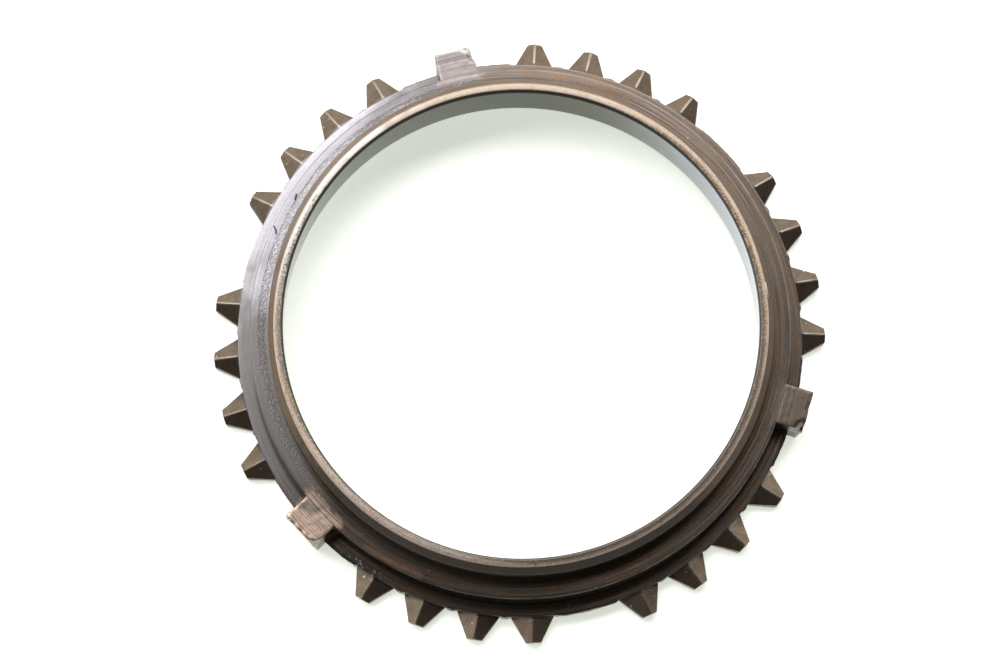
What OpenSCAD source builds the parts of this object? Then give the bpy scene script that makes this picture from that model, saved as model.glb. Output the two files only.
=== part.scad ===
// Synchronizer ring of a manual gearbox, one piece of steel.
// The large end lies on z = 0 and the axis of the friction cone is the Z axis.
// A lug stands on the +Y axis, and two more follow at a third of a turn each.

/* [Turned body] */
// Height of the ring from the large end to the small end
overall_height = 10.8; // [10:0.1:13]
// Diameter of the flange between the teeth
root_diameter = 71.7; // [66:0.1:80]
// Thickness of the toothed flange
flange_thickness = 2.6; // [2.2:0.1:3.4]
// Width of the flange's face outside the shoulder
ledge_width = 1.95; // [1.4:0.05:2.6]
// Height of the shoulder above the large end
shoulder_height = 6.4; // [5.5:0.1:7.2]
// Edge break round the shoulder
shoulder_edge = 0.15; // [0.05:0.05:0.4]
// Width of the shoulder outside the collar
shoulder_width = 2.65; // [2:0.05:3.4]
// Wall of the collar at the small end of the cone
collar_wall = 1.9; // [1.5:0.05:2.6]
// Radial width of the bevel on the collar's outer edge
collar_bevel_width = 0.8; // [0.3:0.05:0.9]
// Depth of that bevel along the axis
collar_bevel_depth = 1.0; // [0.3:0.05:1.5]
// Radius of the fillets at the foot of the collar and of the shoulder wall
fillet_radius = 0.5; // [0.2:0.05:0.8]
// Edge break round the outside of the large end
foot_edge = 0.2; // [0.05:0.05:0.4]

/* [Friction cone] */
// Half angle of the cone, which opens towards the large end
cone_half_angle = 6.2; // [5:0.1:7.5]
// Radial width of the bevel at the cone's small mouth
mouth_bevel_width = 0.2; // [0.1:0.05:0.4]
// Depth of that bevel along the axis
mouth_bevel_depth = 0.6; // [0.2:0.05:1]
// Radial width of the entry bevel at the cone's large mouth
entry_bevel_width = 1.0; // [0.4:0.05:1.5]
// Depth of the entry bevel along the axis
entry_bevel_depth = 1.4; // [0.5:0.05:1.8]

/* [Teeth] */
// Reach of a tooth outside the root
tooth_depth = 3.15; // [2:0.05:4]
// Tooth places round the ring, of which the lugs and the gaps between them leave some empty
tooth_places = 33; // [21:6:33]
// Width of a tooth at the root
tooth_root_width = 5.3; // [4.2:0.05:5.6]
// Width of a tooth at the tip
tooth_tip_width = 1.92; // [1:0.05:3]
// Slope of each roof face of a tooth, in degrees
roof_slope = 33; // [20:0.5:36]
// Drop of the teeth's and root lands' upper edge below the flange's face
rim_drop = 0.05; // [0.02:0.01:0.2]
// Width of the worn flat along the roof's ridge
ridge_width = 0.2; // [0.05:0.05:0.6]
// Distance outside the root at which the ridge begins to fall
ridge_start = 0.3; // [0.1:0.05:1]
// Height of the ridge at the tooth tip
ridge_tip_height = 2.05; // [1.6:0.05:2.15]
// Rise of the root land between the teeth over the root diameter, left by the cutter
land_rise = 0.2; // [0.05:0.05:0.4]
// Clear width between a root land and the foot of a tooth
land_clearance = 0.25; // [0.1:0.05:0.4]

/* [Lugs] */
// Width of a lug
lug_width = 5.05; // [3:0.05:7]
// Reach of a lug outside the root
lug_overhang = 1.5; // [0.8:0.05:2.4]
// Depth of a lug's top below the shoulder
lug_step = 0.2; // [0.05:0.05:0.6]
// Radius of the dents that peened the outer corners of the lugs
dent_radius = 1.6; // [1.4:0.05:2]
// Distance of a dent's centre inside the lug's side
dent_inset = 0.35; // [0:0.05:1]
// Distance of a dent's centre beyond the lug's outer end, and above its top
dent_standoff = 0.85; // [0.7:0.05:0.95]

/* [Hidden] */
$fn = 96;

steel_brown = "#5f544b";

// The steps of the body follow inwards from the root, and the teeth and lugs stand out from it
root_radius = root_diameter / 2;
shoulder_radius = root_radius - ledge_width;
collar_radius = shoulder_radius - shoulder_width;
tip_radius = root_radius + tooth_depth;
lug_reach = root_radius + lug_overhang;

// The cone runs between the two mouth bevels
cone_top = overall_height - mouth_bevel_depth;
cone_small_radius = collar_radius - collar_wall;
cone_large_radius = cone_small_radius + (cone_top - entry_bevel_depth) * tan(cone_half_angle);

// Three lugs share the ring: each takes up three tooth places, and one place is empty midway to the next
lug_count = 3;
pitch_angle = 360 / tooth_places;
lug_angle = 360 / lug_count;
lug_places = 3;
places_per_lug = tooth_places / lug_count;
teeth_per_side = (places_per_lug - lug_places) / 2;
first_tooth = lug_places / 2;

// Share of a turn that one tooth and its clear feet take up at the root
tooth_half_angle = asin((tooth_root_width / 2 + land_clearance) / root_radius);
space_half_angle = pitch_angle / 2 - tooth_half_angle;
gap_half_angle = pitch_angle - tooth_half_angle;
lug_land_half_angle = first_tooth * pitch_angle - tooth_half_angle;

// Height of the teeth and root lands at the root
rim_height = flange_thickness - rim_drop;

// Fall of a tooth's ridge from the root to the tip
ridge_fall = atan((rim_height - ridge_tip_height) / (tooth_depth - ridge_start));

// Teeth and root lands run back into the flange to this radius, clear of the shoulder's fillet
weld_radius = (root_radius + shoulder_radius + fillet_radius) / 2;

// A lug runs back into the shoulder to the middle of its width
lug_weld = (collar_radius + shoulder_radius) / 2;

lug_height = shoulder_height - lug_step;

// Struck corners: which lug, and which of its two outer corners, +1 being the clockwise one
struck_corners = [[0, 1], [1, 1], [2, 1], [2, -1]];

// Filled inner corner of a profile, with its arc towards +X and +Y
module corner_fillet(radius) {
    difference() {
        square(radius);
        translate([radius, radius])
            circle(r = radius);
    }
}

// Half section of the turned ring, in radius and height
module ring_section() {
    polygon([
        [cone_large_radius + entry_bevel_width, 0],
        [root_radius - foot_edge, 0],
        [root_radius, foot_edge],
        [root_radius, flange_thickness],
        [shoulder_radius, flange_thickness],
        [shoulder_radius, shoulder_height - shoulder_edge],
        [shoulder_radius - shoulder_edge, shoulder_height],
        [collar_radius, shoulder_height],
        [collar_radius, overall_height - collar_bevel_depth],
        [collar_radius - collar_bevel_width, overall_height],
        [cone_small_radius + mouth_bevel_width, overall_height],
        [cone_small_radius, cone_top],
        [cone_large_radius, entry_bevel_depth]
    ]);
    translate([collar_radius, shoulder_height])
        corner_fillet(fillet_radius);
    translate([shoulder_radius, flange_thickness])
        corner_fillet(fillet_radius);
}

// Outline of a tooth seen along the axis, pointing to +Y and running back into the flange
module tooth_outline() {
    polygon([
        [-tooth_root_width / 2, weld_radius],
        [-tooth_root_width / 2, root_radius],
        [-tooth_tip_width / 2, tip_radius],
        [tooth_tip_width / 2, tip_radius],
        [tooth_root_width / 2, root_radius],
        [tooth_root_width / 2, weld_radius]
    ]);
}

// Roof of a tooth: a gabled prism whose ridge leaves the rim's level near the root and falls outwards
module tooth_roof() {
    eave_drop = (tooth_root_width - ridge_width / 2) * tan(roof_slope);
    prism_depth = eave_drop + overall_height;
    prism_length = 2 * tip_radius;
    translate([0, root_radius + ridge_start, rim_height])
        rotate([90 - ridge_fall, 0, 0])
            linear_extrude(prism_length, center = true)
                polygon([
                    [ridge_width / 2, 0],
                    [-ridge_width / 2, 0],
                    [-tooth_root_width, -eave_drop],
                    [-tooth_root_width, -prism_depth],
                    [tooth_root_width, -prism_depth],
                    [tooth_root_width, -eave_drop]
                ]);
}

// One clutch tooth at +Y
module tooth() {
    intersection() {
        linear_extrude(rim_height)
            intersection() {
                tooth_outline();
                circle(r = tip_radius);
            }
        tooth_roof();
    }
}

// Wedge about +Y with the given half angle, reaching past the teeth
module wedge(half_angle) {
    polygon([
        [0, 0],
        [-tip_radius * sin(half_angle), tip_radius * cos(half_angle)],
        [0, tip_radius],
        [tip_radius * sin(half_angle), tip_radius * cos(half_angle)]
    ]);
}

// Root lands that belong to the stretch of flange about one lug
module lands_about_lug() {
    wedge(lug_land_half_angle);
    rotate(lug_angle / 2)
        wedge(gap_half_angle);
    for (side = [-1, 1], place = [1 : teeth_per_side - 1])
        rotate(side * (first_tooth + place - 0.5) * pitch_angle)
            wedge(space_half_angle);
}

// Low lands on the rim of the flange, wherever no tooth stands
module root_lands() {
    linear_extrude(rim_height)
        difference() {
            intersection() {
                circle(r = root_radius + land_rise);
                for (lug = [0 : lug_count - 1])
                    rotate(-lug * lug_angle)
                        lands_about_lug();
            }
            circle(r = weld_radius);
        }
}

// Teeth on both sides of one lug
module teeth_about_lug() {
    for (side = [-1, 1], place = [0 : teeth_per_side - 1])
        rotate(side * (first_tooth + place) * pitch_angle)
            tooth();
}

// One lug at +Y, standing on the flange and running into the shoulder
module lug() {
    translate([-lug_width / 2, lug_weld, 0])
        cube([lug_width, lug_reach - lug_weld, lug_height]);
}

// Dent in the upper outer corner of a lug, on the side given by its sign
module corner_dent(side) {
    translate([side * (lug_width / 2 - dent_inset), lug_reach + dent_standoff, lug_height + dent_standoff])
        sphere(r = dent_radius);
}

// The whole ring
module synchronizer_ring() {
    color(steel_brown)
        difference() {
            union() {
                rotate_extrude()
                    ring_section();
                root_lands();
                for (lug = [0 : lug_count - 1])
                    rotate(-lug * lug_angle) {
                        teeth_about_lug();
                        lug();
                    }
            }
            for (corner = struck_corners)
                rotate(-corner[0] * lug_angle)
                    corner_dent(corner[1]);
        }
}

synchronizer_ring();
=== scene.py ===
# %% [markdown]
# # A synchronizer ring
# A synchronizer ring is one piece of steel: a turned body with a friction cone inside, clutch teeth with
# pointed roofs round its large end, and three lugs that the hub drives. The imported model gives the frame,
# in metres, with the axis on Z, the large end on z = 0 and a lug on +Y. Sizes below are in millimetres.

import math

import bmesh
import bpy
from mathutils import Matrix, Vector, noise


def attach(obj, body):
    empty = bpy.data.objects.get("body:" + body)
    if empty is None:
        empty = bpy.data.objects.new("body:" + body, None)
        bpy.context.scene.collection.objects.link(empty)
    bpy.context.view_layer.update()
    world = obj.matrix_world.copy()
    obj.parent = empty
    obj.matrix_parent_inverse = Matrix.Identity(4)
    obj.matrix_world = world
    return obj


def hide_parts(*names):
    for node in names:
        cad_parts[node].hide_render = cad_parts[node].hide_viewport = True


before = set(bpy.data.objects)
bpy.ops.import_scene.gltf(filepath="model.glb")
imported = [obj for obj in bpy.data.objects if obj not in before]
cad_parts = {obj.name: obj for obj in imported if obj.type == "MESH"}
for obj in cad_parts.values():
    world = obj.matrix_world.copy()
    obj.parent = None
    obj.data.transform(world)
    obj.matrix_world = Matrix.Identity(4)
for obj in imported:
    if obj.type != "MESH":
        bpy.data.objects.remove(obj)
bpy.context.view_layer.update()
scene = bpy.context.scene
MM = 0.001

# %% [markdown]
# ## Helpers for node trees
# Geometry trees and shader groups are both built from nodes, so one helper places a node, sets its options
# and fills its inputs with plain values or with the outputs of other nodes. Most of the others do arithmetic,
# which both kinds of tree need all the time. They need not be told the tree, because a socket knows the tree
# that it belongs to.


# %% Node helpers
def place(tree, kind, inputs=None, **options):
    """Adds a node, sets its options, and fills inputs with values or with other nodes' outputs."""
    made = tree.nodes.new(kind)
    for name, value in options.items():
        setattr(made, name, value)
    for key, value in (inputs or {}).items():
        if isinstance(value, bpy.types.NodeSocket):
            tree.links.new(value, made.inputs[key])
        else:
            made.inputs[key].default_value = value
    return made


def new_group(name, inputs, outputs, kind="ShaderNodeTree"):
    """A node group with named sockets: returns the tree, the given inputs and the output node."""
    tree = bpy.data.node_groups.new(name, kind)
    for label, (socket_kind, default) in inputs.items():
        made = tree.interface.new_socket(label, in_out="INPUT", socket_type=socket_kind)
        if default is not None:
            made.default_value = default
    for label, socket_kind in outputs.items():
        tree.interface.new_socket(label, in_out="OUTPUT", socket_type=socket_kind)
    print(name, "takes", list(inputs), "and gives", list(outputs))
    return tree, tree.nodes.new("NodeGroupInput").outputs, tree.nodes.new("NodeGroupOutput")


def shape_tree(name, inputs):
    """A geometry tree with the given inputs, a material as its last input and a shape as its output."""
    inputs = {**inputs, "Material": ("NodeSocketMaterial", None)}
    return new_group(name, inputs, {"Geometry": "NodeSocketGeometry"}, "GeometryNodeTree")


def fill(node, **sockets):
    """Links sockets to a node's inputs, given by name with _ for a space."""
    for label, socket in sockets.items():
        node.id_data.links.new(socket, node.inputs[label.replace("_", " ")])


def tree_of(*values):
    """The tree of the first socket among the values."""
    return next(v.id_data for v in values if isinstance(v, bpy.types.NodeSocket))


def calc(operation, *values, clamp=False):
    """A Math node on up to three values, as its output socket."""
    inputs = dict(enumerate(values))
    return place(tree_of(*values), "ShaderNodeMath", inputs, operation=operation, use_clamp=clamp).outputs[0]


def times(first, second):
    """The product of two values."""
    return calc("MULTIPLY", first, second)


def linear(value, factor, offset):
    """A value times a factor, plus an offset."""
    return calc("MULTIPLY_ADD", value, factor, offset)


def vector_calc(operation, *values, out=0):
    """A Vector Math node on vectors, as one of its output sockets."""
    inputs = dict(enumerate(values))
    return place(tree_of(*values), "ShaderNodeVectorMath", inputs, operation=operation).outputs[out]


def vector(**axes):
    """A vector from values for X, Y and Z."""
    return place(tree_of(*axes.values()), "ShaderNodeCombineXYZ", axes).outputs["Vector"]


def stretched(way, factor):
    """A vector times one value."""
    inputs = {0: way, "Scale": factor}
    return place(tree_of(way), "ShaderNodeVectorMath", inputs, operation="SCALE").outputs[0]


def fade(value, low, high):
    """0 where value is at low, 1 where it is at high, with a soft start and end."""
    inputs = {"Value": value, "From Min": low, "From Max": high}
    made = place(tree_of(value), "ShaderNodeMapRange", inputs, interpolation_type="SMOOTHSTEP")
    return made.outputs["Result"]


def noise_at(spot, scale=1.0, detail=3.0, roughness=0.5):
    """Noise at a place, about 0.5 on average."""
    inputs = {"Vector": spot, "Scale": scale, "Detail": detail, "Roughness": roughness}
    return place(tree_of(spot), "ShaderNodeTexNoise", inputs).outputs[0]


def finish_tree(tree, given, result, geometry):
    """Ends a geometry tree with real geometry, a material and the output."""
    solid = place(tree, "GeometryNodeRealizeInstances", {"Geometry": geometry}).outputs["Geometry"]
    inputs = {"Geometry": solid, "Material": given["Material"]}
    fill(result, Geometry=place(tree, "GeometryNodeSetMaterial", inputs).outputs["Geometry"])
    print(tree.name, "has", len(tree.nodes), "nodes")


FLOAT, INT, VECTOR = "NodeSocketFloat", "NodeSocketInt", "NodeSocketVector"
COLOR, OBJECT = "NodeSocketColor", "NodeSocketObject"
print("kinds of sockets:", FLOAT, INT, VECTOR, COLOR, OBJECT)

# %% [markdown]
# ## The turned section
# On a lathe the body is one half section turned about the axis, so the section is drawn once, as corners
# in radius and height, each with the radius that the tool or long use left on it. A rounded corner catches
# light as a thin line, which a sharp one never does, so each corner is swapped for a short arc. Guard
# points beside the arcs keep the wear that is painted on bends later from spreading over the flat sides.

# %% Section of the body
ROOT_R, SHOULDER_R, COLLAR_R = 35.85, 33.9, 31.25
CONE_SMALL_R, CONE_LARGE_R = 29.35, 30.306
HEIGHT, SHOULDER_Z, FLANGE_Z = 10.8, 6.4, 2.6
FILLET = 0.5

SECTION = [  # radius, height, rounding
    (CONE_LARGE_R + 1.0, 0, 0.12),
    (ROOT_R - 0.1, 0, 0.12),
    (ROOT_R, 0.1, 0.1),
    (ROOT_R, FLANGE_Z, 0.1),
    (SHOULDER_R, FLANGE_Z, FILLET),
    (SHOULDER_R, SHOULDER_Z, 0.16),
    (COLLAR_R, SHOULDER_Z, FILLET),
    (COLLAR_R, HEIGHT - 1.0, 0.2),
    (COLLAR_R - 0.8, HEIGHT, 0.1),
    (CONE_SMALL_R + 0.2, HEIGHT, 0.08),
    (CONE_SMALL_R, HEIGHT - 0.6, 0.12),
    (CONE_LARGE_R, 1.4, 0.15),
]


def rounded(corners, steps=3, guard=0.14, long_side=1.2, most=0.45):
    """The closed outline with short curves for corners, and a guard point beside each on long sides."""
    path = []
    for i, (r, z, size) in enumerate(corners):
        here = Vector((r, z))
        before = Vector(corners[i - 1][:2]) - here
        after = Vector(corners[(i + 1) % len(corners)][:2]) - here
        half = before.angle(after) / 2
        reach = min(size / math.tan(half), most * before.length, most * after.length)
        start, end = here + before.normalized() * reach, here + after.normalized() * reach
        if before.length > long_side:
            path.append(start + before.normalized() * guard)
        for step in range(steps + 1):
            t = step / steps
            path.append(start * (1 - t) ** 2 + here * 2 * t * (1 - t) + end * t * t)
        if after.length > long_side:
            path.append(end + after.normalized() * guard)
    return path


def mesh_object(name, bm):
    """Turns a bmesh into an object in the scene."""
    mesh = bpy.data.meshes.new(name)
    bm.to_mesh(mesh)
    bm.free()
    made = bpy.data.objects.new(name, mesh)
    scene.collection.objects.link(made)
    return made


section_path = rounded(SECTION)
bm = bmesh.new()
ring = [bm.verts.new(((p.x - CONE_SMALL_R) * MM, -p.y * MM, 0)) for p in reversed(section_path)]
for a, b in zip(ring, ring[1:] + ring[:1]):
    bm.edges.new((a, b))
section = mesh_object("section_outline", bm)
print("section points:", len(section_path))

# %% [markdown]
# ## Tooth places
# Thirty-three places share the rim. A tooth stands in the middle of a place, three places are taken up by
# each lug, and the place midway between two lugs is empty. Counting places in groups of eleven from a lug,
# the distance to the fifth one tells it all: only one to four places away from it is there a tooth. The
# rule is a small group of its own, because both the teeth and the rim of the body follow it.

# %% Rule for the tooth places
PLACES = 33
PITCH = 2 * math.pi / PLACES
THIRD = 2 * math.pi / 3

places_rule, given, result = new_group(
    "tooth_place_rule", {"Place": (FLOAT, 0.0)}, {"Has Tooth": FLOAT}, "GeometryNodeTree"
)
in_third = calc("FLOORED_MODULO", calc("FLOOR", given["Place"]), PLACES / 3)
from_gap = calc("ABSOLUTE", calc("SUBTRACT", in_third, 5.0))
fill(result, Has_Tooth=times(calc("GREATER_THAN", from_gap, 0.5), calc("LESS_THAN", from_gap, 4.5)))
print("tooth places:", PLACES, "of", round(math.degrees(PITCH), 3), "degrees")

# %% [markdown]
# ## The turned body
# Curve to Mesh carries the section round a circle, which is what a lathe does. The cutter that made the
# teeth left low lands on the rim between them. They follow the tooth places too, so the same tree pushes
# the rim outwards wherever no tooth stands: evenly in the wide gaps, and with noise for the torn burrs that
# the cutter left where the teeth stand close.

# %% Tree of the turned body
turned_body, given, result = shape_tree(
    "turned_body",
    {
        "Section": (OBJECT, None),
        "Spine Radius": (FLOAT, CONE_SMALL_R * MM),
        "Segments": (INT, 720),
        "Rim Radius": (FLOAT, ROOT_R * MM),
        "Land Rise": (FLOAT, 0.2 * MM),
        "Tooth Share": (FLOAT, 0.8),
    },
)
outline = place(turned_body, "GeometryNodeObjectInfo", {"Object": given["Section"]})
outline = place(turned_body, "GeometryNodeMeshToCurve", {"Mesh": outline.outputs["Geometry"]})
spine = {"Resolution": given["Segments"], "Radius": given["Spine Radius"]}
spine = place(turned_body, "GeometryNodeCurvePrimitiveCircle", spine)
curves = {"Curve": spine.outputs["Curve"], "Profile Curve": outline.outputs["Curve"]}
turned = place(turned_body, "GeometryNodeCurveToMesh", curves)
here = place(turned_body, "GeometryNodeInputPosition").outputs["Position"]
x, y, z = place(turned_body, "ShaderNodeSeparateXYZ", {"Vector": here}).outputs
flat = vector(X=x, Y=y)
radius = vector_calc("LENGTH", flat, out="Value")
turn = calc("DIVIDE", calc("ARCTAN2", x, y), PITCH)
in_place = calc("ABSOLUTE", calc("SUBTRACT", calc("FRACT", turn), 0.5))
half_tooth = times(given["Tooth Share"], 0.5)
beside = fade(in_place, half_tooth, calc("ADD", half_tooth, 0.05))
rule = place(turned_body, "GeometryNodeGroup", {"Place": turn}, node_tree=places_rule)
bare = calc("SUBTRACT", 1.0, rule.outputs["Has Tooth"])
land = calc("MAXIMUM", bare, beside)
torn = calc("MAXIMUM", fade(noise_at(here, 1.1 / MM, detail=2.0), 0.25, 0.6), times(bare, 0.8))
rise = times(given["Land Rise"], torn)
on_rim = calc("GREATER_THAN", radius, calc("SUBTRACT", given["Rim Radius"], 0.02 * MM))
push = times(times(land, rise), on_rim)
outwards = vector_calc("NORMALIZE", flat)
inputs = {"Geometry": turned.outputs["Mesh"], "Offset": stretched(outwards, push)}
moved = place(turned_body, "GeometryNodeSetPosition", inputs)
finish_tree(turned_body, given, result, moved.outputs["Geometry"])

# %% [markdown]
# ## One clutch tooth
# A tooth narrows from the rim to its tip, and two sloping planes meet over it as a roof, which turns the
# sleeve aside until the speeds match. It is lofted through four stations along its length, each with six
# corners, and its real edges are then bevelled: wear has rounded the ridge most of all.

# %% Tooth
TIP_R, RIM_Z = 38.98, FLANGE_Z - 0.05
TOOTH_IN, RIDGE_START = 35.1, ROOT_R + 0.3
ROOT_HALF, TIP_HALF, RIDGE_HALF = 2.65, 0.96, 0.1
ROOF = math.tan(math.radians(33))
CRISP, TOOTH_ROUND = math.radians(12), 0.07  # edges sharper than this are rounded
RIDGE_FALL = (RIM_Z - 2.05) / (TIP_R - RIDGE_START)


def tooth_station(y):
    """Six corners of the tooth's cross-section at the distance y from the axis."""
    half = ROOT_HALF + (TIP_HALF - ROOT_HALF) * max(0, y - ROOT_R) / (TIP_R - ROOT_R)
    ridge = RIM_Z + (RIDGE_START - y) * RIDGE_FALL
    top = min(ridge, RIM_Z)
    flat_half = RIDGE_HALF + (ridge - top) / ROOF
    eave = ridge - (half - RIDGE_HALF) * ROOF
    return [(-half, 0), (half, 0), (half, eave), (flat_half, top), (-flat_half, top), (-half, eave)]


bm = bmesh.new()
rows = []
for y in (TOOTH_IN, ROOT_R, RIDGE_START, TIP_R):
    rows.append([bm.verts.new((x * MM, y * MM, z * MM)) for x, z in tooth_station(y)])
for near, far in zip(rows, rows[1:]):
    for i in range(6):
        bm.faces.new((near[i], near[(i + 1) % 6], far[(i + 1) % 6], far[i]))
bm.faces.new(rows[0])
bm.faces.new(rows[-1])
bmesh.ops.recalc_face_normals(bm, faces=bm.faces)
crisp = [e for e in bm.edges if e.calc_face_angle() > CRISP]
shape = {"offset": TOOTH_ROUND * MM, "segments": 2, "profile": 0.5, "clamp_overlap": True}
bmesh.ops.bevel(bm, geom=crisp, affect="EDGES", **shape)
tooth = mesh_object("tooth_pattern", bm)
print("faces of one tooth:", len(tooth.data.polygons))

# %% [markdown]
# ## The row of teeth
# The tooth is drawn in its place on +Y, so a copy only has to be turned about the axis. The tree makes one
# point for each place, keeps those that the rule gives a tooth, and turns each copy by a hair more or
# less, as no two teeth of a used ring sit quite alike.

# %% Tree of the teeth
inputs = {"Tooth": (OBJECT, None), "Places": (INT, PLACES), "Unevenness": (FLOAT, math.radians(0.12))}
tooth_row, given, result = shape_tree("tooth_row", inputs)
pattern = place(tooth_row, "GeometryNodeObjectInfo", {"Object": given["Tooth"]})
points = place(tooth_row, "GeometryNodePoints", {"Count": given["Places"]})
index = place(tooth_row, "GeometryNodeInputIndex").outputs["Index"]
rule = place(tooth_row, "GeometryNodeGroup", {"Place": index}, node_tree=places_rule)
most = given["Unevenness"]
inputs = {"Min": times(most, -1.0), "Max": most, "Seed": 7}
uneven = place(tooth_row, "FunctionNodeRandomValue", inputs, data_type="FLOAT")
step = calc("DIVIDE", -2 * math.pi, given["Places"])
angle = linear(calc("ADD", index, 0.5), step, uneven.outputs["Value"])
turned_by = place(tooth_row, "FunctionNodeEulerToRotation", {0: vector(Z=angle)})
copies = place(
    tooth_row,
    "GeometryNodeInstanceOnPoints",
    {
        "Points": points.outputs["Points"],
        "Selection": rule.outputs["Has Tooth"],
        "Instance": pattern.outputs["Geometry"],
        "Rotation": turned_by.outputs["Rotation"],
    },
)
finish_tree(tooth_row, given, result, copies.outputs["Instances"])

# %% [markdown]
# ## Three battered lugs
# The lugs have been hammered in service, each in its own way, so they are modelled one by one. Each starts
# as a block with a fine skin, its edges are rounded, and then it takes blows: a blow has a place, a reach
# and a push, and moves the skin most at its centre. Across is clockwise, along is outwards, up is up.

# %% Lugs
LUG_W, LUG_IN, LUG_OUT, LUG_Z, LUG_ROUND = 5.05, 32.6, 37.35, 6.28, 0.16
BLOWS = [  # one list for each lug: place, reach, push
    [
        ((2.6, 36.3, 6.3), 1.3, (-0.3, 0, -0.3)),
        ((1.6, 37.35, 6.1), 1.2, (0, 0.2, -0.08)),
        ((2.7, 37.5, 6.0), 1.0, (-0.3, -0.2, -0.15)),
        ((2.7, 37.0, 4.0), 3.2, (-0.38, 0, 0)),
        ((1.7, 37.1, 6.3), 0.45, (0, 0, -0.14)),
    ],
    [
        ((2.4, 37.2, 6.3), 1.25, (-0.1, -0.08, -0.8)),
        ((2.6, 37.2, 4.6), 1.2, (0.2, 0, 0)),
        ((-0.4, 37.5, 6.3), 0.9, (0, -0.08, -0.06)),
    ],
    [
        ((2.2, 36.9, 5.9), 1.3, (0.12, 0.2, 0)),
        ((2.8, 37.6, 6.1), 0.9, (-0.25, -0.2, -0.2)),
        ((1.4, 37.5, 6.3), 0.7, (0, -0.35, -0.35)),
        ((-2.6, 37.4, 6.0), 1.2, (0.4, -0.35, -0.15)),
        ((-2.5, 37.2, 5.0), 1.0, (-0.15, 0.1, 0)),
        ((-0.2, 37.5, 6.2), 0.5, (0, -0.35, -0.3)),
    ],
]


def stops(low, high, gap=0.28):
    """Places from low to high, closer together at both ends, where the edge will be rounded."""
    inner_low, inner_high = low + LUG_ROUND, high - LUG_ROUND
    count = round((inner_high - inner_low) / gap)
    middle = [inner_low + (inner_high - inner_low) * i / count for i in range(count + 1)]
    return [low, low + LUG_ROUND * 0.4, *middle, high - LUG_ROUND * 0.4, high]


def add_block(bm, axes):
    """The skin of a block whose faces are divided at the given places along the three axes."""
    grid = {}
    last = [len(places) - 1 for places in axes]

    def corner(key):
        if key not in grid:
            grid[key] = bm.verts.new([places[i] for places, i in zip(axes, key)])
        return grid[key]

    for fixed in range(3):
        u, v = (fixed + 1) % 3, (fixed + 2) % 3
        for side in (0, last[fixed]):
            for i in range(last[u]):
                for j in range(last[v]):
                    keys = [[0, 0, 0] for _ in range(4)]
                    for key, (du, dv) in zip(keys, ((0, 0), (1, 0), (1, 1), (0, 1))):
                        key[fixed], key[u], key[v] = side, i + du, j + dv
                    face = [corner(tuple(key)) for key in keys]
                    bm.faces.new(face if side else face[::-1])
    return list(grid.values())


def batter(point, blows):
    """Rounds a block's skin at its edges, then moves it by every blow and roughens it a little."""
    low = Vector((-LUG_W / 2, LUG_IN, 0))
    high = Vector((LUG_W / 2, LUG_OUT, LUG_Z))
    core = Vector(min(max(p, a + LUG_ROUND), b - LUG_ROUND) for p, a, b in zip(point, low, high))
    if point != core:
        point = core + (point - core).normalized() * LUG_ROUND
    shift = Vector((0, 0, 0))
    for centre, reach, push in blows:
        near = max(0, 1 - ((point - Vector(centre)).length / reach) ** 2)
        shift += Vector(push) * near * near
    moved = point + shift + noise.noise_vector(point * 1.6) * 0.03
    moved.z = max(0, moved.z)
    return moved


bm = bmesh.new()
for number, blows in enumerate(BLOWS):
    turned_by_lug = Matrix.Rotation(-number * THIRD, 4, "Z")
    skin = add_block(bm, (stops(-LUG_W / 2, LUG_W / 2), stops(LUG_IN, LUG_OUT), stops(0, LUG_Z)))
    for vert in skin:
        vert.co = turned_by_lug @ (batter(vert.co.copy(), blows) * MM)
bmesh.ops.recalc_face_normals(bm, faces=bm.faces)
lugs = mesh_object("lug_blocks", bm)
print("faces of the lugs:", len(lugs.data.polygons))

# %% [markdown]
# ## One piece of steel
# Body, teeth and lugs are cut from one blank, so they have to become one closed skin. A Mesh Boolean node
# in its union mode does that, and it keeps the tree open to change: any of the three may be rebuilt alone.

# %% Tree that joins the ring
PARTS = ("Body", "Teeth", "Lugs")

joined_ring, given, result = shape_tree("joined_ring", {part: (OBJECT, None) for part in PARTS})
union = place(joined_ring, "GeometryNodeMeshBoolean", operation="UNION", solver="MANIFOLD")
for part in PARTS:
    shape = place(joined_ring, "GeometryNodeObjectInfo", {"Object": given[part]})
    joined_ring.links.new(shape.outputs["Geometry"], union.inputs["Mesh 2"])
finish_tree(joined_ring, given, result, union.outputs["Mesh"])

# %% [markdown]
# ## Places on the ring for the finishes
# Every finish on a turned part follows its axis: tool marks run round it, and wear depends on how far out
# and how high a spot lies. This group turns Object coordinates into a radius and a height in millimetres
# and a direction from the axis, and every other group starts from it. A heading is a direction written in
# degrees clockwise from +Y.

# %% Shader group: ring coordinates
ring_place, given, result = new_group(
    "ring_coordinates",
    {},
    {"Position": VECTOR, "Direction": VECTOR, "Radius": FLOAT, "Height": FLOAT},
)
metres = place(ring_place, "ShaderNodeTexCoord").outputs["Object"]
position = vector_calc("MULTIPLY", metres, (1 / MM,) * 3)
x, y, z = place(ring_place, "ShaderNodeSeparateXYZ", {"Vector": position}).outputs
flat = vector(X=x, Y=y)
radius = vector_calc("LENGTH", flat, out="Value")
fill(result, Position=position, Direction=vector_calc("NORMALIZE", flat), Radius=radius, Height=z)


def use(tree, group, **inputs):
    """Places a shader group with its inputs, given by name with _ for a space."""
    inputs = {label.replace("_", " "): value for label, value in inputs.items()}
    return place(tree, "ShaderNodeGroup", inputs, node_tree=group).outputs


def at_ring(tree):
    """The ring's own coordinates, inside any shader tree."""
    return use(tree, ring_place)


def heading(degrees):
    """The direction so many degrees clockwise from +Y."""
    turn = math.radians(degrees)
    return (math.sin(turn), math.cos(turn), 0)


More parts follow.
